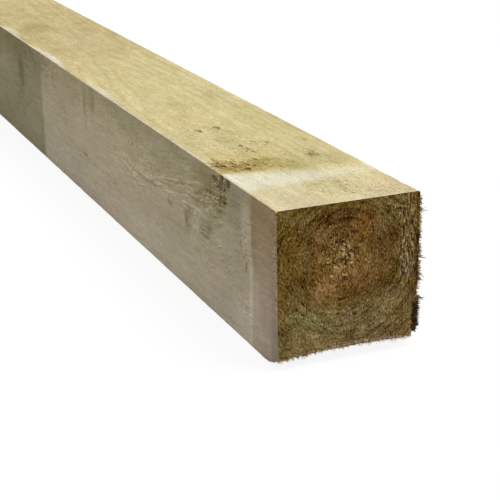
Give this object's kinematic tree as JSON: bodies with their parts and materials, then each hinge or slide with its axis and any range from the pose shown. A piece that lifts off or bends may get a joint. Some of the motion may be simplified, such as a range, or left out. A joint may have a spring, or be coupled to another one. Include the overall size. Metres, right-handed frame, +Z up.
{
  "type": "treated timber batten",
  "caption": "Near-square sawn length of pressure-treated softwood with the heart in its section, used as a fixing batten, rail or light post.",
  "frame": {"origin": "on the floor, under the middle of the length and the middle of the width", "axes": "+Y along the length, away from the torn near end; +Z up through the top face; +X to the right seen from the near end"},
  "size_m": [0.047, 1.8, 0.05],
  "materials": {
    "treated_timber": "rough sawn, pale green-brown treatment tint"
  },
  "bodies": {
    "root": {"batten": "treated_timber"}
  },
  "joints": []
}
